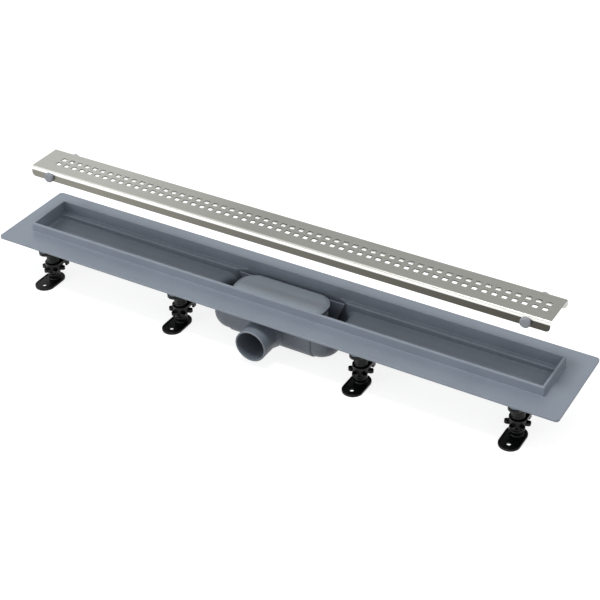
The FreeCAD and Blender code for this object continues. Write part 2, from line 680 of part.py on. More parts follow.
def make_trap_seal():
    """Mould the rubber frame between the cover and the long walls of the insert."""
    body = new_body("trap_seal")
    frame = new_sketch(body, "seal_outline", "XY_Plane", INSERT_TOP)
    draw_rectangle(frame, COVER_LENGTH, COVER_WIDTH, COVER_CORNER)
    draw_rectangle(
        frame, f"{COVER_LENGTH} - 2 * (skirt_inset - fit_clearance)",
        f"{COVER_WIDTH} - 2 * (skirt_inset - fit_clearance)",
        f"{COVER_CORNER} - skirt_inset + fit_clearance",
    )
    add_pad(body, "seal", frame, "seal_thickness")
    return body


def make_grate():
    """Fold the grate from sheet and punch its two rows of square holes."""
    body = new_body("grate")
    section = new_sketch(body, "folded_section", "YZ_Plane", MIDDLE)
    outer, inner = f"{GRATE_WIDTH} / 2", f"({GRATE_WIDTH} / 2 - grate_sheet)"
    outer_bend, soffit = "grate_bend + grate_sheet", f"{GRATE_TOP} - grate_sheet"
    draw_outline(section, [
        (f"-{outer}", GRATE_EDGE, None),
        (f"-{inner}", GRATE_EDGE, None),
        (f"-{inner}", soffit, "grate_bend"),
        (inner, soffit, "grate_bend"),
        (inner, GRATE_EDGE, None),
        (outer, GRATE_EDGE, None),
        (outer, GRATE_TOP, outer_bend),
        (f"-{outer}", GRATE_TOP, outer_bend),
    ])
    add_pad(body, "folded_sheet", section, GRATE_LENGTH, both_ways=True)
    edge = value(GRATE_EDGE)
    add_fillet(
        body, "skirt_corner_rounding", "grate_end_round",
        lambda item: at_height(edge)(item) and item.BoundBox.XLength < PICK_SLACK,
    )

    clips = new_sketch(body, "clip_circles", "XZ_Plane", MIDDLE)
    for side in ("-", ""):
        draw_circle(clips, f"{side}{BUTTON_REACH}", BUTTON_HEIGHT, "clip_radius + fit_clearance")
    add_pocket(body, "clip_holes", clips, GRATE_WIDTH, both_ways=True)

    slot = new_sketch(body, "slot_squares", "XY_Plane", GRATE_TOP)
    first_slot = f"slot_left_margin - {GRATE_LENGTH} / 2"
    for side in ("-", ""):
        draw_rectangle(
            slot, "slot_size", "slot_size", x=first_slot, y=f"row_offset + {side}row_spacing / 2"
        )
    first = add_pocket(body, "first_slots", slot, "2 * grate_sheet")
    rows = body.newObject("PartDesign::LinearPattern", "slot_rows")
    rows.Originals = [first]
    rows.Direction = (slot, ["H_Axis"])
    bind(rows, "Length", f"{GRATE_LENGTH} - slot_left_margin - slot_right_margin")
    bind(rows, "Occurrences", "slot_count")
    finish(body, rows)
    return body


def make_grate_button(label, x, turn):
    """Mould one button: a domed disc clipped through the skirt, which spaces and seats the grate."""
    body = new_body(label)
    disc = new_sketch(body, "disc_circle", "XZ_Plane", f"{GRATE_WIDTH} / 2")
    draw_circle(disc, MIDDLE, BUTTON_HEIGHT, "button_radius")
    add_pad(body, "disc", disc, "button_depth")
    outer_face = -value(f"{GRATE_WIDTH} / 2 + button_depth")
    add_fillet(
        body, "dome", "button_dome",
        lambda edge: edge.BoundBox.YMax < outer_face + PICK_SLACK,
    )
    shank = new_sketch(body, "shank_circle", "XZ_Plane", f"{GRATE_WIDTH} / 2")
    draw_circle(shank, MIDDLE, BUTTON_HEIGHT, "clip_radius")
    add_pad(body, "shank", shank, "grate_sheet + fit_clearance", back=True)
    head = new_sketch(
        body, "head_circle", "XZ_Plane", f"{GRATE_WIDTH} / 2 - grate_sheet - fit_clearance"
    )
    draw_circle(head, MIDDLE, BUTTON_HEIGHT, "clip_head")
    add_pad(body, "head", head, "clip_height", back=True)
    place(body, MIDDLE, along=x, turn=turn)
    return body


def make_foot_bracket(label, x, y, turn):
    """Mould one bracket: a plate under the bosses, a cheeked web behind and an arm round the stem."""
    body = new_body(label)
    plate = new_sketch(body, "plate_slot", "XY_Plane", BRACKET_SOFFIT)
    draw_slot(plate, MIDDLE, "-boss_spacing", "boss_spacing", "bracket_half_width")
    add_pad(body, "plate", plate, "bracket_plate")

    web = new_sketch(body, "web_outline", "XY_Plane", f"{ARM_SOFFIT} - web_skirt")
    front, back = "(nut_reach + web_clearance)", "(nut_reach + web_clearance + web_depth)"
    draw_outline(web, [
        ("-bracket_half_width", front, None),
        ("bracket_web - bracket_half_width", front, None),
        ("bracket_web - bracket_half_width", f"{back} - bracket_web", None),
        ("bracket_half_width - bracket_web", f"{back} - bracket_web", None),
        ("bracket_half_width - bracket_web", front, None),
        ("bracket_half_width", front, None),
        ("bracket_half_width", back, None),
        ("-bracket_half_width", back, None),
    ])
    add_pad(body, "web", web, f"{BRACKET_TOP} - {ARM_SOFFIT} + web_skirt")

    arm = new_sketch(body, "arm_slot", "XY_Plane", ARM_SOFFIT)
    draw_slot(arm, MIDDLE, MIDDLE, f"{back} - arm_radius", "arm_radius")
    add_pad(body, "arm", arm, "arm_thickness")

    guide = new_sketch(body, "stem_guide_circle", "XY_Plane", ARM_TOP)
    draw_circle(guide, MIDDLE, MIDDLE, THREAD_HOLE)
    add_pocket(body, "stem_guide", guide, "arm_thickness")
    holes = new_sketch(body, "plate_hole_circles", "XY_Plane", BRACKET_TOP)
    draw_circle(holes, MIDDLE, "-boss_spacing", "screw_radius + fit_clearance")
    draw_circle(holes, MIDDLE, "boss_spacing", "peg_radius + fit_clearance")
    add_pocket(body, "plate_holes", holes, "bracket_plate")
    place(body, y, along=x, turn=turn)
    return body


def make_lock_nut(label, x, y, turn):
    """Mould one adjusting nut: a hub round the stem with lugs for the fingers at its foot."""
    body = new_body(label)
    hub = new_sketch(body, "hub_circle", "XY_Plane", NUT_UNDERSIDE)
    draw_circle(hub, MIDDLE, MIDDLE, "nut_radius")
    add_pad(body, "hub", hub, "nut_height")
    lug = new_sketch(body, "lug_slot", "XY_Plane", NUT_UNDERSIDE)
    draw_slot(
        lug, MIDDLE, "nut_radius - lug_half_width", "nut_reach - lug_half_width", "lug_half_width"
    )
    first = add_pad(body, "first_lug", lug, "lug_height")
    lugs = body.newObject("PartDesign::PolarPattern", "lugs")
    lugs.Originals = [first]
    lugs.Axis = (hub, ["N_Axis"])
    lugs.Angle = FULL_TURN
    bind(lugs, "Occurrences", "lug_count")
    finish(body, lugs)
    bore = new_sketch(body, "nut_bore_circle", "XY_Plane", ARM_SOFFIT)
    draw_circle(bore, MIDDLE, MIDDLE, THREAD_HOLE)
    add_pocket(body, "nut_bore", bore, "nut_height")
    place(body, y, along=x, turn=turn + NUT_TURN)
    return body


def make_foot(label, x, y, turn):
    """Mould one foot: a rimmed plate with an anchor hole, and the stem that stands on it."""
    body = new_body(label)
    sole = new_sketch(body, "sole_slot", "XY_Plane", FLOOR)
    draw_slot(sole, MIDDLE, "-sole_offset", MIDDLE, "sole_radius")
    add_pad(body, "sole", sole, "sole_thickness")
    add_fillet(body, "sole_rounding", "sole_round", at_height(value("sole_thickness")))
    recess = new_sketch(body, "recess_slot", "XY_Plane", "sole_thickness")
    draw_slot(recess, MIDDLE, "-sole_offset", MIDDLE, "sole_radius - sole_rim")
    add_pocket(body, "recess", recess, "sole_recess")
    stem = new_sketch(body, "stem_circle", "XY_Plane", FLOOR)
    draw_circle(stem, MIDDLE, MIDDLE, STEM_RADIUS)
    add_pad(body, "stem", stem, STEM_TOP)
    foot_of_stem = value("sole_thickness - sole_recess")
    reach = value(STEM_RADIUS)
    add_fillet(
        body, "stem_root_rounding", "stem_root",
        edge_between(low=foot_of_stem, high=foot_of_stem, most_x=reach, most_y=reach),
    )
    anchor = new_sketch(body, "anchor_circle", "XY_Plane", "sole_thickness")
    draw_circle(anchor, MIDDLE, "-anchor_offset", "anchor_radius")
    add_pocket(body, "anchor_hole", anchor, "sole_thickness")
    place(body, y, along=x, turn=turn)
    return body


def make_bracket_screws():
    """Turn the eight screws that hold the brackets up to their outer bosses."""
    screws = []
    for _, y, turn in ROWS:
        outward = -1 if turn == 0 else 1
        for x in STATIONS:
            foot = FreeCAD.Vector(
                value(x), value(y) + outward * value("boss_spacing"), value(BRACKET_SOFFIT)
            )
            shank = Part.makeCylinder(
                value("screw_radius"), value("bracket_plate + screw_length"), foot
            )
            head = Part.makeCylinder(
                value("screw_head_radius"), value("screw_head_height"), foot,
                FreeCAD.Vector(0, 0, -1),
            )
            screws.append(shank.fuse(head).removeSplitter())
    group = document.addObject("Part::Feature", "bracket_screws")
    group.Label = "bracket_screws"
    group.Shape = Part.makeCompound(screws)
    group.Placement = FreeCAD.Placement()
    sub_parts.append(group)


def check_and_write():
    """Stop at any failed object or empty or broken solid, then write each sub-part to its file."""
    document.recompute()
    for item in document.Objects:
        if "Invalid" in item.State or "Error" in item.State:
            raise RuntimeError(f"{item.Label} did not recompute: {item.State}")
    for part in sub_parts:
        if part.Shape.isNull() or not part.Shape.isValid() or not part.Shape.Solids:
            raise RuntimeError(f"{part.Label} has no sound solid")
    os.makedirs("parts", exist_ok=True)
    for part in sub_parts:
        part.Shape.exportStep(os.path.join("parts", f"{part.Label}.step"))
        print(part.Label, len(part.Shape.Solids), round(part.Shape.Volume, 1))


make_channel_body()
make_trap_insert()
make_trap_cover()
make_trap_seal()
make_grate()
for row_name, _, row_turn in ROWS:
    for end_name, end_sign in (("left", "-"), ("right", "")):
        make_grate_button(
            f"grate_button_{row_name}_{end_name}", f"{end_sign}{BUTTON_REACH}", row_turn
        )
for row_name, row_line, row_turn in ROWS:
    for station, station_x in enumerate(STATIONS, start=1):
        make_foot_bracket(f"foot_bracket_{row_name}_{station}", station_x, row_line, row_turn)
        make_lock_nut(f"lock_nut_{row_name}_{station}", station_x, row_line, row_turn)
        make_foot(f"foot_{row_name}_{station}", station_x, row_line, row_turn)
make_bracket_screws()
check_and_write()
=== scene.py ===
import logging
import math
from dataclasses import dataclass
from enum import Enum
from typing import Any, Iterable, Optional, Sequence, Union

import bmesh
import bpy
import numpy as np
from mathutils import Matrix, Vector


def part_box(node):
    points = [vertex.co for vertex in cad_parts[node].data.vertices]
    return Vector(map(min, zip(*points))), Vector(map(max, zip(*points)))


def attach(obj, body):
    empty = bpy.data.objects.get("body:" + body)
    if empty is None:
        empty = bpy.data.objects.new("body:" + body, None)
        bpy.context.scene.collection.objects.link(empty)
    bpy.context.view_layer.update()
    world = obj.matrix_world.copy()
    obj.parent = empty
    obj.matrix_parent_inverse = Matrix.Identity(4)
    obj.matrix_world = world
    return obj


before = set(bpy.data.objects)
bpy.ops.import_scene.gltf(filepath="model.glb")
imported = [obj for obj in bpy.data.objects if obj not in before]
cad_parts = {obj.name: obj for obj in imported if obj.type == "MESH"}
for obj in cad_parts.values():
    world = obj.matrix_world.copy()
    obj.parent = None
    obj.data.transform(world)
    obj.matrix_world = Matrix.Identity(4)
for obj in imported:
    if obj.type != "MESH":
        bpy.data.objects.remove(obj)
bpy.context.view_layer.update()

log = logging.getLogger("channel_drain")

MM = 0.001
MERGE_DISTANCE = 1e-7
RIGHT_ANGLE = 90.0

# The sRGB curve: a straight foot up to the knee, and a power curve above it
SRGB_KNEE = 0.04045
SRGB_FOOT = 12.92
SRGB_OFFSET = 0.055
SRGB_POWER = 2.4
HEX_DIGITS = 2
HEX_BASE = 16
BYTE_TOP = 255.0

# Noise gathers round a half, so its two colours are spread between these values
NOISE_LOW = 0.3
NOISE_HIGH = 0.7

# A colour mix, and the places of its two inputs and its output
COLOUR_MIX = {"data_type": "RGBA"}
MIX_FIRST = 6
MIX_SECOND = 7
MIX_RESULT = 2

NodeOwner = Union[bpy.types.Material, bpy.types.World]


class FootRow(Enum):
    """The two rows of feet under the flange."""

    FRONT = "front"
    REAR = "rear"


def linear(hex_colour: str) -> tuple[float, float, float, float]:
    """Turn an sRGB hex colour into linear light.

    Args:
        hex_colour: Six hex digits after a hash.

    Returns:
        Red, green and blue in linear light, and an alpha of one.
    """
    digits = hex_colour.lstrip("#")
    channels = [
        int(digits[start:start + HEX_DIGITS], HEX_BASE) / BYTE_TOP
        for start in range(0, len(digits), HEX_DIGITS)
    ]
    red, green, blue = (
        c / SRGB_FOOT if c <= SRGB_KNEE else ((c + SRGB_OFFSET) / (1 + SRGB_OFFSET)) ** SRGB_POWER
        for c in channels
    )
    return (red, green, blue, 1.0)


def fill_inputs(owner: NodeOwner, node: bpy.types.Node, inputs: dict[Any, Any]) -> None:
    """Give a node's inputs their constants and links.

    Args:
        owner: The material or world that owns the node.
        node: The node.
        inputs: Values or output sockets, by the name or place of the input that takes them.
    """
    for key, given in inputs.items():
        if isinstance(given, bpy.types.NodeSocket):
            owner.node_tree.links.new(given, node.inputs[key])
        else:
            node.inputs[key].default_value = given


def add_node(
    owner: NodeOwner,
    kind: str,
    settings: Optional[dict[str, Any]] = None,
    inputs: Optional[dict[Any, Any]] = None,
    stops: Sequence[tuple[float, str]] = (),
) -> bpy.types.Node:
    """Add one node with its settings, its constant inputs, its links and its colour stops.

    Args:
        owner: The material or world whose tree takes the node.
        kind: The node's type name.
        settings: Properties of the node, by name.
        inputs: Values or output sockets, by the name or place of the input that takes them.
        stops: The two ends of a colour ramp, as places from 0 to 1 with their colours.

    Returns:
        The new node.
    """
    node = owner.node_tree.nodes.new(kind)
    for name, setting in (settings or {}).items():
        setattr(node, name, setting)
    fill_inputs(owner, node, inputs or {})
    if stops:
        for point, (place, hex_colour) in zip(node.color_ramp.elements, stops):
            point.position = place
            point.color = linear(hex_colour)
    return node


def new_material(name: str) -> tuple[bpy.types.Material, bpy.types.Node, bpy.types.NodeSocket]:
    """Start a node material with an empty principled shader.

    Args:
        name: What the real material is.

    Returns:
        The material, its shader and the object's own coordinates.
    """
    material = bpy.data.materials.new(name)
    material.use_nodes = True
    material.node_tree.nodes.clear()
    shader = add_node(material, "ShaderNodeBsdfPrincipled")
    add_node(material, "ShaderNodeOutputMaterial", inputs={"Surface": shader.outputs["BSDF"]})
    place = add_node(material, "ShaderNodeTexCoord").outputs["Object"]
    return material, shader, place


@dataclass(frozen=True)
class MouldedPolypropylene:
    """Polypropylene from a spark-eroded mould: a soft sheen over a fine even grain.

    The seal's rubber and the buttons' nylon are moulded alike, in their own colours and sheens.
    A piece may carry painted shade, darker below one height and fading out by another. Over
    the same heights a painted highlight grows on its outer edges, except between two more
    heights, where there are only inner corners. The real grain is finer, and is drawn as coarse
    as it needs to show.
    """

    name: str
    light: str
    dark: str
    # Painted shade: below one height the colour is scaled by this tone, back to full by another
    painted_shade_tone: float = 1.0
    painted_shade_low: float = 48 * MM
    painted_shade_high: float = 68 * MM
    corner_low: float = 0.0
    corner_high: float = 0.0
    # Painted highlight along the outer edges: its colour and its strength
    highlight_colour: str = "#b4bcc6"
    highlight_strength: float = 0.8
    # Cosines of the angle between the face's own normal and the normal of its rounded edge
    highlight_starts: float = 0.995
    highlight_ends: float = 0.8
    roughness: float = 0.42
    sheen_spread: float = 0.04
    ior: float = 1.49
    mottle: float = 60 * MM
    grain: float = 0.7 * MM
    grain_detail: float = 1.0
    bump: float = 0.05
    edge: float = 1.8 * MM
    edge_samples: int = 8

    def make(self) -> bpy.types.Material:
        """Build the material.

        Returns:
            The finished material.
        """
        material, shader, place = new_material(self.name)
        cloud = add_node(
            material, "ShaderNodeTexNoise", inputs={"Vector": place, "Scale": 1 / self.mottle}
        )
        grain = add_node(
            material, "ShaderNodeTexNoise",
            inputs={"Vector": place, "Scale": 1 / self.grain, "Detail": self.grain_detail},
        )
        skin = add_node(
            material, "ShaderNodeValToRGB", inputs={"Fac": cloud.outputs["Fac"]},
            stops=((NOISE_LOW, self.dark), (NOISE_HIGH, self.light)),
        )
        parts = add_node(material, "ShaderNodeSeparateXYZ", inputs={"Vector": place})
        # Painted shade: the colour is scaled down towards the lower height
        tone = add_node(
            material, "ShaderNodeMapRange",
            inputs={
                "Value": parts.outputs["Z"], "From Min": self.painted_shade_low, "From Max": self.painted_shade_high,
                "To Min": self.painted_shade_tone,
            },
        )
        toned = add_node(
            material, "ShaderNodeVectorMath", {"operation": "SCALE"},
            {0: skin.outputs["Color"], "Scale": tone.outputs["Result"]},
        )
        soft_edge = add_node(
            material, "ShaderNodeBevel", {"samples": self.edge_samples}, {"Radius": self.edge}
        )
        flatness = add_node(
            material, "ShaderNodeVectorMath", {"operation": "DOT_PRODUCT"},
            {
                0: soft_edge.outputs["Normal"],
                1: add_node(material, "ShaderNodeNewGeometry").outputs["Normal"],
            },
        )
        # The painted edge highlight grows over the painted shade's heights and is left off the
        # inner corners
        reach_of_highlight = add_node(
            material, "ShaderNodeMapRange",
            inputs={
                "Value": parts.outputs["Z"], "From Min": self.painted_shade_low, "From Max": self.painted_shade_high,
                "To Max": self.highlight_strength,
            },
        )
        in_corner = add_node(
            material, "ShaderNodeMath", {"operation": "COMPARE"},
            {
                0: parts.outputs["Z"], 1: (self.corner_high + self.corner_low) / 2,
                2: (self.corner_high - self.corner_low) / 2,
            },
        )
        highlight_amount = add_node(
            material, "ShaderNodeMath", {"operation": "SUBTRACT", "use_clamp": True},
            {0: reach_of_highlight.outputs["Result"], 1: in_corner.outputs["Value"]},
        )
        highlit = add_node(
            material, "ShaderNodeMapRange",
            inputs={
                "Value": flatness.outputs["Value"], "From Min": self.highlight_starts,
                "From Max": self.highlight_ends, "To Max": highlight_amount.outputs["Value"],
            },
        )
        colour = add_node(
            material, "ShaderNodeMix", COLOUR_MIX,
            {
                "Factor": highlit.outputs["Result"], MIX_FIRST: toned.outputs["Vector"],
                MIX_SECOND: linear(self.highlight_colour),
            },
        )
        relief = add_node(
            material, "ShaderNodeBump",
            inputs={
                "Strength": self.bump, "Distance": self.grain,
                "Height": grain.outputs["Fac"], "Normal": soft_edge.outputs["Normal"],
            },
        )
        sheen = add_node(
            material, "ShaderNodeMapRange",
            inputs={
                "Value": cloud.outputs["Fac"],
                "To Min": self.roughness - self.sheen_spread,
                "To Max": self.roughness + self.sheen_spread,
            },
        )
        fill_inputs(material, shader, {
            "Base Color": colour.outputs[MIX_RESULT], "Roughness": sheen.outputs["Result"],
            "IOR": self.ior, "Normal": relief.outputs["Normal"],
        })
        return material


@dataclass(frozen=True)
class FoldedStainless:
    """Stainless sheet, brushed on its face; its folds carry a painted highlight, the rest painted
    reflection and shade.

    The real brushing lines are finer, and are drawn as wide as they need to show.
    """

    name: str
    face_height: float
    half_width: float
    fold_reach: float = 5.0 * MM
    face: str = "#9b9c96"
    face_dark: str = "#8f908a"
    # Painted highlight on the folds, a little darker at the shoulders
    fold_highlight: str = "#e6e6e2"
    shoulder_highlight: str = "#c2c2bc"
    # Painted dark reflection on the outer skirts, lighter at the left end, and painted shade in the
    # slot walls
    dark_reflection_and_shade: str = "#4a4943"
    dark_reflection_left: str = "#6b6a63"
    # Painted reflection on the hidden side of the skirts
    hidden_reflection: str = "#d2d1cc"
    smoothest: float = 0.29
    roughest: float = 0.41
    sheet: float = 1.5 * MM
    fold_depth: float = 5.0 * MM
    fold_blend: float = 1.2 * MM
    shoulder_foot: float = 2.0 * MM
    shoulder_head: float = 1.0 * MM
    fold_skin: float = 0.9 * MM
    face_skin: float = 0.12 * MM
    skin_top: float = 0.04 * MM
    # Painted light: the whole sheet is lighter towards its left end, by this gain at the end
    painted_light_end: float = -300 * MM
    even_from: float = -40 * MM
    dark_reflection_end: float = 400 * MM
    painted_light_gain: float = 1.5
    skirt_depth: float = 12 * MM
    streak_length: float = 60 * MM
    streak_width: float = 0.6 * MM
    streak_detail: float = 3.0
    bump: float = 0.05
    edge: float = 0.4 * MM
    edge_samples: int = 4

    def make(self) -> bpy.types.Material:
        """Build the material.

        The colour changes with the height below the face and with the reach from the middle: a
        thin skin at the top is the brushed face, the folds beyond the reach carry a painted
        highlight down to their depth, a little darker at the shoulders under the face, what lies
        lower carries a painted dark reflection, the slot walls painted shade, and the hidden side
        of the skirts a lighter painted reflection. The whole sheet is painted lighter towards its
        left end, but never beyond the folds' highlight colour, and the skirts' painted dark
        reflection deepens towards their right end.

        Returns:
            The finished material.
        """
        material, shader, place = new_material(self.name)
        stretched = add_node(
            material, "ShaderNodeMapping",
            inputs={
                "Vector": place,
                "Scale": (1 / self.streak_length, 1 / self.streak_width, 1 / self.streak_width),
            },
        )
        streaks = add_node(
            material, "ShaderNodeTexNoise",
            inputs={
                "Vector": stretched.outputs["Vector"], "Scale": 1.0, "Detail": self.streak_detail,
            },
        )
        brushed = add_node(
            material, "ShaderNodeValToRGB", inputs={"Fac": streaks.outputs["Fac"]},
            stops=((NOISE_LOW, self.face_dark), (NOISE_HIGH, self.face)),
        )
        parts = add_node(material, "ShaderNodeSeparateXYZ", inputs={"Vector": place})
        height = add_node(
            material, "ShaderNodeMapRange",
            inputs={
                "Value": parts.outputs["Z"],
                "From Min": self.face_height - self.skirt_depth, "From Max": self.face_height,
            },
        )
        reach = add_node(
            material, "ShaderNodeMath", {"operation": "ABSOLUTE"}, {0: parts.outputs["Y"]}
        )
        over_fold = add_node(
            material, "ShaderNodeMath", {"operation": "GREATER_THAN"},
            {0: reach.outputs["Value"], 1: self.half_width - self.fold_reach},
        )
        skin_foot = add_node(
            material, "ShaderNodeMath", {"operation": "MULTIPLY_ADD"},
            {
                0: over_fold.outputs["Value"], 1: self.face_skin - self.fold_skin,
                2: self.face_height - self.face_skin,
            },
        )
        skin = add_node(
            material, "ShaderNodeMapRange",
            inputs={
                "Value": parts.outputs["Z"], "From Min": skin_foot.outputs["Value"],
                "From Max": self.face_height - self.skin_top,
            },
        )
        # Painted highlight down the folds, darker at the shoulders under the face
        fold_highlight_ramp = add_node(
            material, "ShaderNodeValToRGB", inputs={"Fac": height.outputs["Result"]},
            stops=(
                (1 - self.shoulder_foot / self.skirt_depth, self.fold_highlight),
                (1 - self.shoulder_head / self.skirt_depth, self.shoulder_highlight),
            ),
        )
        # The skirts' painted dark reflection deepens from the even part to the right end
        from_bright = add_node(
            material, "ShaderNodeMapRange",
            inputs={
                "Value": parts.outputs["X"],
                "From Min": self.even_from, "From Max": self.dark_reflection_end,
            },
        )
        skirt = add_node(
            material, "ShaderNodeMix", COLOUR_MIX,
            {
                "Factor": from_bright.outputs["Result"],
                MIX_FIRST: linear(self.dark_reflection_left), MIX_SECOND: linear(self.dark_reflection_and_shade),
            },
        )
        on_fold = add_node(
            material, "ShaderNodeMapRange",
            inputs={
                "Value": parts.outputs["Z"],
                "From Min": self.face_height - self.fold_depth - self.fold_blend,
                "From Max": self.face_height - self.fold_depth,
            },
        )
        folded = add_node(
            material, "ShaderNodeMix", COLOUR_MIX,
            {
                "Factor": on_fold.outputs["Result"],
                MIX_FIRST: skirt.outputs[MIX_RESULT], MIX_SECOND: fold_highlight_ramp.outputs["Color"],
            },
        )
        beyond = add_node(
            material, "ShaderNodeMapRange",
            inputs={
                "Value": reach.outputs["Value"],
                "From Min": self.half_width - self.sheet,
                "From Max": self.half_width - self.sheet / 2,
            },
        )
        slot_wall = add_node(
            material, "ShaderNodeMapRange",
            inputs={
                "Value": parts.outputs["Z"],
                "From Min": self.face_height - 2 * self.sheet,
                "From Max": self.face_height - self.sheet,
            },
        )
        # Painted shade in the slot walls, painted reflection on the hidden faces below them
        hidden = add_node(
            material, "ShaderNodeMix", COLOUR_MIX,
            {
                "Factor": slot_wall.outputs["Result"],
                MIX_FIRST: linear(self.hidden_reflection), MIX_SECOND: linear(self.dark_reflection_and_shade),
            },
        )
        above_soffit = add_node(
            material, "ShaderNodeMath", {"operation": "GREATER_THAN"},
            {0: parts.outputs["Z"], 1: self.face_height - self.sheet + self.skin_top},
        )
        near_face = add_node(
            material, "ShaderNodeMath", {"operation": "MULTIPLY"},
            {0: over_fold.outputs["Value"], 1: above_soffit.outputs["Value"]},
        )
        outside = add_node(
            material, "ShaderNodeMath", {"operation": "MAXIMUM"},
            {0: beyond.outputs["Result"], 1: near_face.outputs["Value"]},
        )
        below_face = add_node(
            material, "ShaderNodeMix", COLOUR_MIX,
            {
                "Factor": outside.outputs["Value"],
                MIX_FIRST: hidden.outputs[MIX_RESULT], MIX_SECOND: folded.outputs[MIX_RESULT],
            },
        )
        even = add_node(
            material, "ShaderNodeMix", COLOUR_MIX,
            {
                "Factor": skin.outputs["Result"],
                MIX_FIRST: below_face.outputs[MIX_RESULT], MIX_SECOND: brushed.outputs["Color"],
            },
        )
        # Painted light towards the left end, capped at the folds' highlight colour
        gain = add_node(
            material, "ShaderNodeMapRange",
            inputs={
                "Value": parts.outputs["X"], "From Min": self.painted_light_end,
                "From Max": self.even_from, "To Min": self.painted_light_gain, "To Max": 1.0,
            },
        )
        brightened = add_node(
            material, "ShaderNodeVectorMath", {"operation": "SCALE"},
            {0: even.outputs[MIX_RESULT], "Scale": gain.outputs["Result"]},
        )
        colour = add_node(
            material, "ShaderNodeVectorMath", {"operation": "MINIMUM"},
            {0: brightened.outputs["Vector"], 1: linear(self.fold_highlight)[:3]},
        )
        rough = add_node(
            material, "ShaderNodeMapRange",
            inputs={
                "Value": streaks.outputs["Fac"],
                "To Min": self.smoothest, "To Max": self.roughest,
            },
        )
        soft_edge = add_node(
            material, "ShaderNodeBevel", {"samples": self.edge_samples}, {"Radius": self.edge}
        )
        relief = add_node(
            material, "ShaderNodeBump",
            inputs={
                "Strength": self.bump, "Distance": self.streak_width,
                "Height": streaks.outputs["Fac"], "Normal": soft_edge.outputs["Normal"],
            },
        )
        fill_inputs(material, shader, {
            "Base Color": colour.outputs["Vector"], "Metallic": 1.0,
            "Roughness": rough.outputs["Result"], "Normal": relief.outputs["Normal"],
        })
        return material


@dataclass(frozen=True)
class ZincPlate:
    """Zinc-plated steel: a bluish grey metal with the faint bloom of its passivation."""

    name: str = "zinc_plated_steel"
    light: str = "#b4b6b8"
    dark: str = "#9a9c9e"
    roughness: float = 0.36
    bloom: float = 3 * MM

    def make(self) -> bpy.types.Material:
        """Build the material.

        Returns:
            The finished material.
        """
        material, shader, place = new_material(self.name)
        bloom = add_node(
            material, "ShaderNodeTexNoise", inputs={"Vector": place, "Scale": 1 / self.bloom}
        )
        colour = add_node(
            material, "ShaderNodeValToRGB", inputs={"Fac": bloom.outputs["Fac"]},
            stops=((NOISE_LOW, self.dark), (NOISE_HIGH, self.light)),
        )
        fill_inputs(material, shader, {
            "Base Color": colour.outputs["Color"], "Metallic": 1.0, "Roughness": self.roughness,
        })
        return material


@dataclass(frozen=True)
class CarbonBlackNylon:
    """Carbon-black nylon from a polished mould: near black, with small bright highlights."""

    name: str
    light: str = "#08090a"
    dark: str = "#030404"
    roughness: float = 0.3
    sheen_spread: float = 0.05
    ior: float = 1.53
    specular: float = 0.22
    flow: float = 12 * MM
    edge: float = 0.7 * MM
    edge_samples: int = 4

    def make(self) -> bpy.types.Material:
        """Build the material.

        Returns:
            The finished material.
        """
        material, shader, place = new_material(self.name)
        flow = add_node(
            material, "ShaderNodeTexNoise", inputs={"Vector": place, "Scale": 1 / self.flow}
        )
        colour = add_node(
            material, "ShaderNodeValToRGB", inputs={"Fac": flow.outputs["Fac"]},
            stops=((NOISE_LOW, self.dark), (NOISE_HIGH, self.light)),
        )
        rough = add_node(
            material, "ShaderNodeMapRange",
            inputs={
                "Value": flow.outputs["Fac"],
                "To Min": self.roughness - self.sheen_spread,
                "To Max": self.roughness + self.sheen_spread,
            },
        )
        soft_edge = add_node(
            material, "ShaderNodeBevel", {"samples": self.edge_samples}, {"Radius": self.edge}
        )
        fill_inputs(material, shader, {
            "Base Color": colour.outputs["Color"], "Roughness": rough.outputs["Result"],
            "IOR": self.ior, "Specular IOR Level": self.specular,
            "Normal": soft_edge.outputs["Normal"],
        })
        return material


@dataclass(frozen=True)
class FloorPaper:
    """White background paper: it takes a soft shadow and reads as white to the camera.

    Its fibres are finer, and are drawn in clumps as coarse as they need to show.
    """

    name: str = "white_background_paper"
    colour: str = "#b0b0b0"
    glow: str = "#ffffff"
    camera_lift: float = 0.82
    roughness: float = 0.9
    # Three clumps in ten millimetres
    clump: float = 10 * MM / 3
    clump_height: float = 1.0 * MM
    bump: float = 0.02

    def make(self) -> bpy.types.Material:
        """Build the material.

        Returns:
            The finished material.
        """
        material, shader, place = new_material(self.name)
        fibre = add_node(
            material, "ShaderNodeTexNoise", inputs={"Vector": place, "Scale": 1 / self.clump}
        )
        relief = add_node(
            material, "ShaderNodeBump",
            inputs={
                "Strength": self.bump, "Distance": self.clump_height,
                "Height": fibre.outputs["Fac"],
            },
        )
        path = add_node(material, "ShaderNodeLightPath").outputs
        seen = add_node(
            material, "ShaderNodeMath", {"operation": "MAXIMUM"},
            {0: path["Is Camera Ray"], 1: path["Is Glossy Ray"]},
        )
        lift = add_node(
            material, "ShaderNodeMath", {"operation": "MULTIPLY"},
            {0: seen.outputs["Value"], 1: self.camera_lift},
        )
        fill_inputs(material, shader, {
            "Base Color": linear(self.colour), "Roughness": self.roughness,
            "Normal": relief.outputs["Normal"],
            "Emission Color": linear(self.glow), "Emission Strength": lift.outputs["Value"],
        })
        return material


def dress(nodes: Iterable[str], material: bpy.types.Material) -> None:
    """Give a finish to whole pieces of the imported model.

    Args:
        nodes: Names of the pieces.
        material: Their finish.
    """
    for name in nodes:
        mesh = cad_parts[name].data
        mesh.materials.clear()
        mesh.materials.append(material)
        log.info("%s is finished in %s", name, material.name)


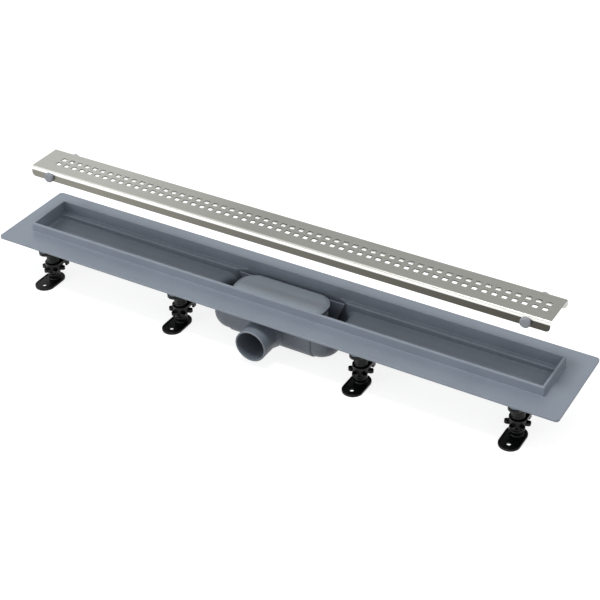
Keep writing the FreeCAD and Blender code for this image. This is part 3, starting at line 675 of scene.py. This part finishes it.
def mesh_object(
    name: str, points: np.ndarray, quads: np.ndarray, smooth: bool
) -> bpy.types.Object:
    """Make an object from points and quads, and merge the points that fall together.

    Args:
        name: Name of the new object.
        points: One row of coordinates for each point, in metres.
        quads: Four point numbers for each face.
        smooth: Whether the faces are shaded as one surface.

    Returns:
        The new object, at the origin, with its place in its mesh.
    """
    mesh = bpy.data.meshes.new(name)
    mesh.from_pydata(points, [], quads)
    shell = bmesh.new()
    shell.from_mesh(mesh)
    bmesh.ops.remove_doubles(shell, verts=shell.verts, dist=MERGE_DISTANCE)
    bmesh.ops.recalc_face_normals(shell, faces=shell.faces)
    shell.to_mesh(mesh)
    shell.free()
    if smooth:
        mesh.shade_smooth()
    item = bpy.data.objects.new(name, mesh)
    bpy.context.scene.collection.objects.link(item)
    return item


def grid_mesh(name: str, points: np.ndarray, closed_across: bool) -> bpy.types.Object:
    """Make a mesh from a grid of points.

    Each cell of the grid is one quad; the last column joins the first where the grid closes.

    Args:
        name: Name of the new object.
        points: Rows, columns and coordinates.
        closed_across: Whether the columns close on themselves.

    Returns:
        The new object, at the origin.
    """
    rows, columns = points.shape[:2]
    index = np.arange(rows * columns).reshape(rows, columns)
    across = np.roll(index, -1, axis=1) if closed_across else index[:, 1:]
    near = index if closed_across else index[:, :-1]
    quads = np.stack([near[:-1], across[:-1], across[1:], near[1:]], axis=-1).reshape(-1, 4)
    return mesh_object(name, points.reshape(-1, 3), quads, smooth=True)


@dataclass
class Tray:
    """The moulded tray and trap: one grey-blue plastic with painted shade, a cover painted lighter,
    and a rubber seal.
    """

    # Painted shade on the body, darkest below the lower height: under the flange and in the trough
    plastic: MouldedPolypropylene = MouldedPolypropylene(
        "moulded_grey_polypropylene", "#8a939f", "#848d99", painted_shade_tone=0.6,
        # No painted highlight on the inner corner round the flange's foot, between these heights
        corner_low=75.9 * MM, corner_high=78.5 * MM,
    )
    # The cover is painted lighter, standing in for the light that reaches it
    cover_plastic_painted_lighter: MouldedPolypropylene = MouldedPolypropylene(
        "moulded_grey_polypropylene_cover_painted_lighter", "#9da7b1", "#96a0aa"
    )
    rubber: MouldedPolypropylene = MouldedPolypropylene(
        "black_seal_rubber", "#1b1c1e", "#141517", highlight_strength=0.0, roughness=0.7
    )

    def dress(self) -> None:
        """Finish the tray, the trap insert, its cover and its seal."""
        dress(("channel_body", "trap_insert"), self.plastic.make())
        dress(("trap_cover",), self.cover_plastic_painted_lighter.make())
        dress(("trap_seal",), self.rubber.make())


@dataclass
class Grate:
    """The folded steel grate and the four plastic buttons clipped through its skirts.

    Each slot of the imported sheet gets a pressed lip, which narrows it to the opening that shows.
    """

    slot: float = 9.4 * MM
    opening: float = 7.8 * MM
    lip_depth: float = 1.6 * MM
    lip_set: float = 0.02 * MM
    lip_hold: float = 0.1 * MM
    slots_in_a_row: int = 56
    left_margin: float = 33.2 * MM
    right_margin: float = 17.3 * MM
    row_offset: float = 0.3 * MM
    row_spacing: float = 14.2 * MM
    corner_power: float = 20.0
    steps_round: int = 24
    plastic: MouldedPolypropylene = MouldedPolypropylene(
        "light_grey_button_nylon", "#8f949b", "#878c93", roughness=0.3
    )

    def lip_rings(self, top: float) -> np.ndarray:
        """Work out the lip of one slot as rings round its middle.

        A ring's reach at an angle is its half side over the power mean of the sine and the cosine,
        which is a square with rounded corners. The rings run from the outer edge over the top, down
        the opening and back below.

        Args:
            top: Height of the sheet's face, in metres.

        Returns:
            Rings, steps round and coordinates; the last ring is the first again.
        """
        angle = np.linspace(0.0, math.tau, self.steps_round, endpoint=False)
        power = self.corner_power
        mean = (np.abs(np.cos(angle)) ** power + np.abs(np.sin(angle)) ** power) ** (1.0 / power)
        outer, inner = self.slot / 2 + self.lip_hold, self.opening / 2
        half = np.array([outer, inner, inner, outer, outer])[:, None] / mean
        high, low = top - self.lip_set, top - self.lip_depth
        height = np.array([high, high, low, low, high])[:, None]
        return np.stack([
            half * np.cos(angle), half * np.sin(angle), np.broadcast_to(height, half.shape),
        ], axis=-1)

    def lips(self) -> bpy.types.Object:
        """Make the lips of all slots, as copies of one lip along both rows.

        Returns:
            All lips as one object.
        """
        low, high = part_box("grate")
        along = np.linspace(
            low[0] + self.left_margin, high[0] - self.right_margin, self.slots_in_a_row
        )
        half_spacing = self.row_spacing / 2
        across = self.row_offset + np.array([-half_spacing, half_spacing])
        middle = np.stack(np.meshgrid(along, across), axis=-1).reshape(-1, 2)
        middle = np.concatenate([middle, np.zeros((len(middle), 1))], axis=1)
        rings = self.lip_rings(high[2])
        points = middle[:, None, None, :] + rings[None]
        count, steps = rings.shape[:2]
        index = np.arange(len(middle) * count * steps).reshape(len(middle), count, steps)
        near, far = index[:, :-1], index[:, 1:]
        quads = np.stack(
            [near, far, np.roll(far, -1, axis=2), np.roll(near, -1, axis=2)], axis=-1
        ).reshape(-1, 4)
        return mesh_object("slot_lips", points.reshape(-1, 3), quads, smooth=False)

    def dress(self) -> None:
        """Finish the sheet and the buttons, and press a lip round each slot."""
        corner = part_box("grate")[1]
        steel = FoldedStainless(
            "brushed_stainless_sheet", face_height=corner[2], half_width=corner[1]
        ).make()
        dress(("grate",), steel)
        lips = self.lips()
        lips.data.materials.append(steel)
        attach(lips, "tray")
        log.info("the grate has %d lips", self.slots_in_a_row * 2)
        buttons = sorted(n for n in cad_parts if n.startswith("grate_button"))
        dress(buttons, self.plastic.make())


@dataclass
class LevellingFeet:
    """The black feet with their nuts and brackets, and the screws that hold the brackets.

    Each stem carries a moulded thread, on which a turn of the nut moves the foot by one pitch. Its
    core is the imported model's, and the ridge stands on it.
    """

    plastic: CarbonBlackNylon = CarbonBlackNylon("carbon_black_nylon")
    zinc: ZincPlate = ZincPlate()
    feet_in_a_row: int = 4
    pitch: float = 4.0 * MM
    crest: float = 9.9 * MM
    valley: float = 9.2 * MM
    thread_start: float = 5.6 * MM
    head: float = 0.6 * MM
    flank_gain: float = 2.2
    root_drop: float = 0.6
    steps_round: int = 32
    steps_per_turn: int = 12

    def thread(self, name: str, axis: tuple[float, float], top: float) -> bpy.types.Object:
        """Make the ridge of one stem's thread.

        The radius at a height and an angle is the valley's plus the ridge's, which is a triangle
        wave of the height over the pitch less the angle over a full turn. The wave is steepened by
        the gain, lowered by the drop and clipped, so that crests and roots are flat, and it fades
        out over one pitch at each end. The first and last rings close on the axis.

        Args:
            name: Name of the new object.
            axis: The stem's axis, in metres.
            top: Where the thread ends, in metres above the floor.

        Returns:
            The thread as a closed shell.
        """
        steps = round((top - self.thread_start) / self.pitch * self.steps_per_turn)
        height = np.linspace(self.thread_start, top, steps + 1)[:, None]
        angle = np.linspace(0.0, math.tau, self.steps_round, endpoint=False)[None, :]
        turn = np.mod(height / self.pitch - angle / math.tau, 1.0)
        triangle = 1.0 - np.abs(2.0 * turn - 1.0)
        wave = np.clip(self.flank_gain * triangle - self.root_drop, 0.0, 1.0)
        near_end = np.minimum(height - self.thread_start, top - height)
        fade = np.clip(near_end / self.pitch, 0.0, 1.0)
        radius = self.valley + (self.crest - self.valley) * wave * fade
        radius = np.concatenate([np.zeros_like(radius[:1]), radius, np.zeros_like(radius[:1])])
        height = np.concatenate([height[:1], height, height[-1:]])
        points = np.stack([
            axis[0] + radius * np.cos(angle),
            axis[1] + radius * np.sin(angle),
            np.broadcast_to(height, radius.shape),
        ], axis=-1)
        return grid_mesh(name, points, closed_across=True)

    def cut_threads(self, material: bpy.types.Material) -> None:
        """Put a thread on every stem, from above its foot plate to just below its end.

        Args:
            material: The feet's finish.
        """
        for row in FootRow:
            for place in range(1, self.feet_in_a_row + 1):
                foot = f"foot_{row.value}_{place}"
                low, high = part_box(f"lock_nut_{row.value}_{place}")
                axis = ((low[0] + high[0]) / 2, (low[1] + high[1]) / 2)
                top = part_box(foot)[1][2] - self.head
                ridge = self.thread(f"stem_thread_{row.value}_{place}", axis, top)
                ridge.data.materials.append(material)
                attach(ridge, foot)
                log.info("%s carries its thread", foot)

    def dress(self) -> None:
        """Finish the feet, nuts, brackets and screws, and thread the stems."""
        black = self.plastic.make()
        dress(sorted(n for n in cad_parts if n.startswith(("foot_", "lock_nut"))), black)
        dress(("bracket_screws",), self.zinc.make())
        self.cut_threads(black)


@dataclass(frozen=True)
class SoftLamp:
    """A square soft lamp: where it hangs and its side, in metres, and its power, in watts."""

    name: str
    place: tuple[float, float, float]
    side: float
    power: float


@dataclass
class Studio:
    """White paper, a plain bright surround, two soft lamps and the camera.

    The key hangs overhead and a little to the front, so that the lifted grate shades the trough.
    The fill stands low at the front left and lights the outer faces.
    """

    camera_place: tuple[float, float, float] = (0.90863, -1.53668, 1.26962)
    azimuth: float = 29.711
    elevation: float = 34.028
    lens: float = 87.80
    sensor: float = 36.0
    floor_half: float = 6.0
    surround: str = "#ffffff"
    world_level: float = 0.58
    white_level: float = 1.0
    lamp_aim: tuple[float, float, float] = (0.0, 0.0, 0.1)
    lamps: tuple[SoftLamp, ...] = (
        SoftLamp("key", (0.0, -0.55, 2.6), 0.5, 26.0),
        SoftLamp("fill", (-1.6, -2.2, 0.3), 1.2, 22.0),
    )
    paper: FloorPaper = FloorPaper()

    def lay_floor(self) -> None:
        """Lay a flat sheet of white paper under the feet."""
        side = np.array([-self.floor_half, self.floor_half])
        across, along = np.meshgrid(side, side)
        points = np.stack([across, along, np.zeros_like(across)], axis=-1)
        floor = grid_mesh("floor", points, closed_across=False)
        floor.data.materials.append(self.paper.make())

    def light_world(self) -> None:
        """Surround the object with even light, white to the camera and in the steel."""
        world = bpy.data.worlds.new("studio")
        world.use_nodes = True
        world.node_tree.nodes.clear()
        path = add_node(world, "ShaderNodeLightPath").outputs
        seen = add_node(
            world, "ShaderNodeMath", {"operation": "MAXIMUM"},
            {0: path["Is Camera Ray"], 1: path["Is Glossy Ray"]},
        )
        even, white = (
            add_node(
                world, "ShaderNodeBackground",
                inputs={"Color": linear(self.surround), "Strength": level},
            )
            for level in (self.world_level, self.white_level)
        )
        mix = add_node(
            world, "ShaderNodeMixShader",
            inputs={
                "Fac": seen.outputs["Value"],
                1: even.outputs["Background"], 2: white.outputs["Background"],
            },
        )
        add_node(world, "ShaderNodeOutputWorld", inputs={"Surface": mix.outputs["Shader"]})
        bpy.context.scene.world = world

    def hang_lamps(self) -> None:
        """Hang the lamps and point them at the object."""
        for plan in self.lamps:
            lamp = bpy.data.lights.new(plan.name, "AREA")
            lamp.shape = "SQUARE"
            lamp.size = plan.side
            lamp.energy = plan.power
            item = bpy.data.objects.new(plan.name, lamp)
            item.location = Vector(plan.place)
            ray = Vector(self.lamp_aim) - Vector(plan.place)
            item.rotation_euler = ray.to_track_quat("-Z", "Y").to_euler()
            bpy.context.scene.collection.objects.link(item)

    def stand_camera(self) -> None:
        """Stand the camera where the photograph was taken."""
        lens = bpy.data.cameras.new("camera")
        lens.sensor_fit = "HORIZONTAL"
        lens.sensor_width = self.sensor
        lens.lens = self.lens
        camera = bpy.data.objects.new("camera", lens)
        camera.location = self.camera_place
        camera.rotation_euler = (
            math.radians(RIGHT_ANGLE - self.elevation), 0.0, math.radians(self.azimuth)
        )
        bpy.context.scene.collection.objects.link(camera)
        bpy.context.scene.camera = camera

    def build(self) -> None:
        """Set up the floor, the surround, the lamps and the camera."""
        bpy.context.scene.view_settings.view_transform = "Standard"
        self.lay_floor()
        self.light_world()
        self.hang_lamps()
        self.stand_camera()


def main() -> None:
    """Dress every piece in turn, then set up the studio."""
    logging.basicConfig(level=logging.INFO, format="%(name)s: %(message)s")
    for assembly in (Tray(), Grate(), LevellingFeet()):
        log.info("dressing %s", type(assembly).__name__)
        assembly.dress()
    Studio().build()


if __name__ == "__main__":
    main()
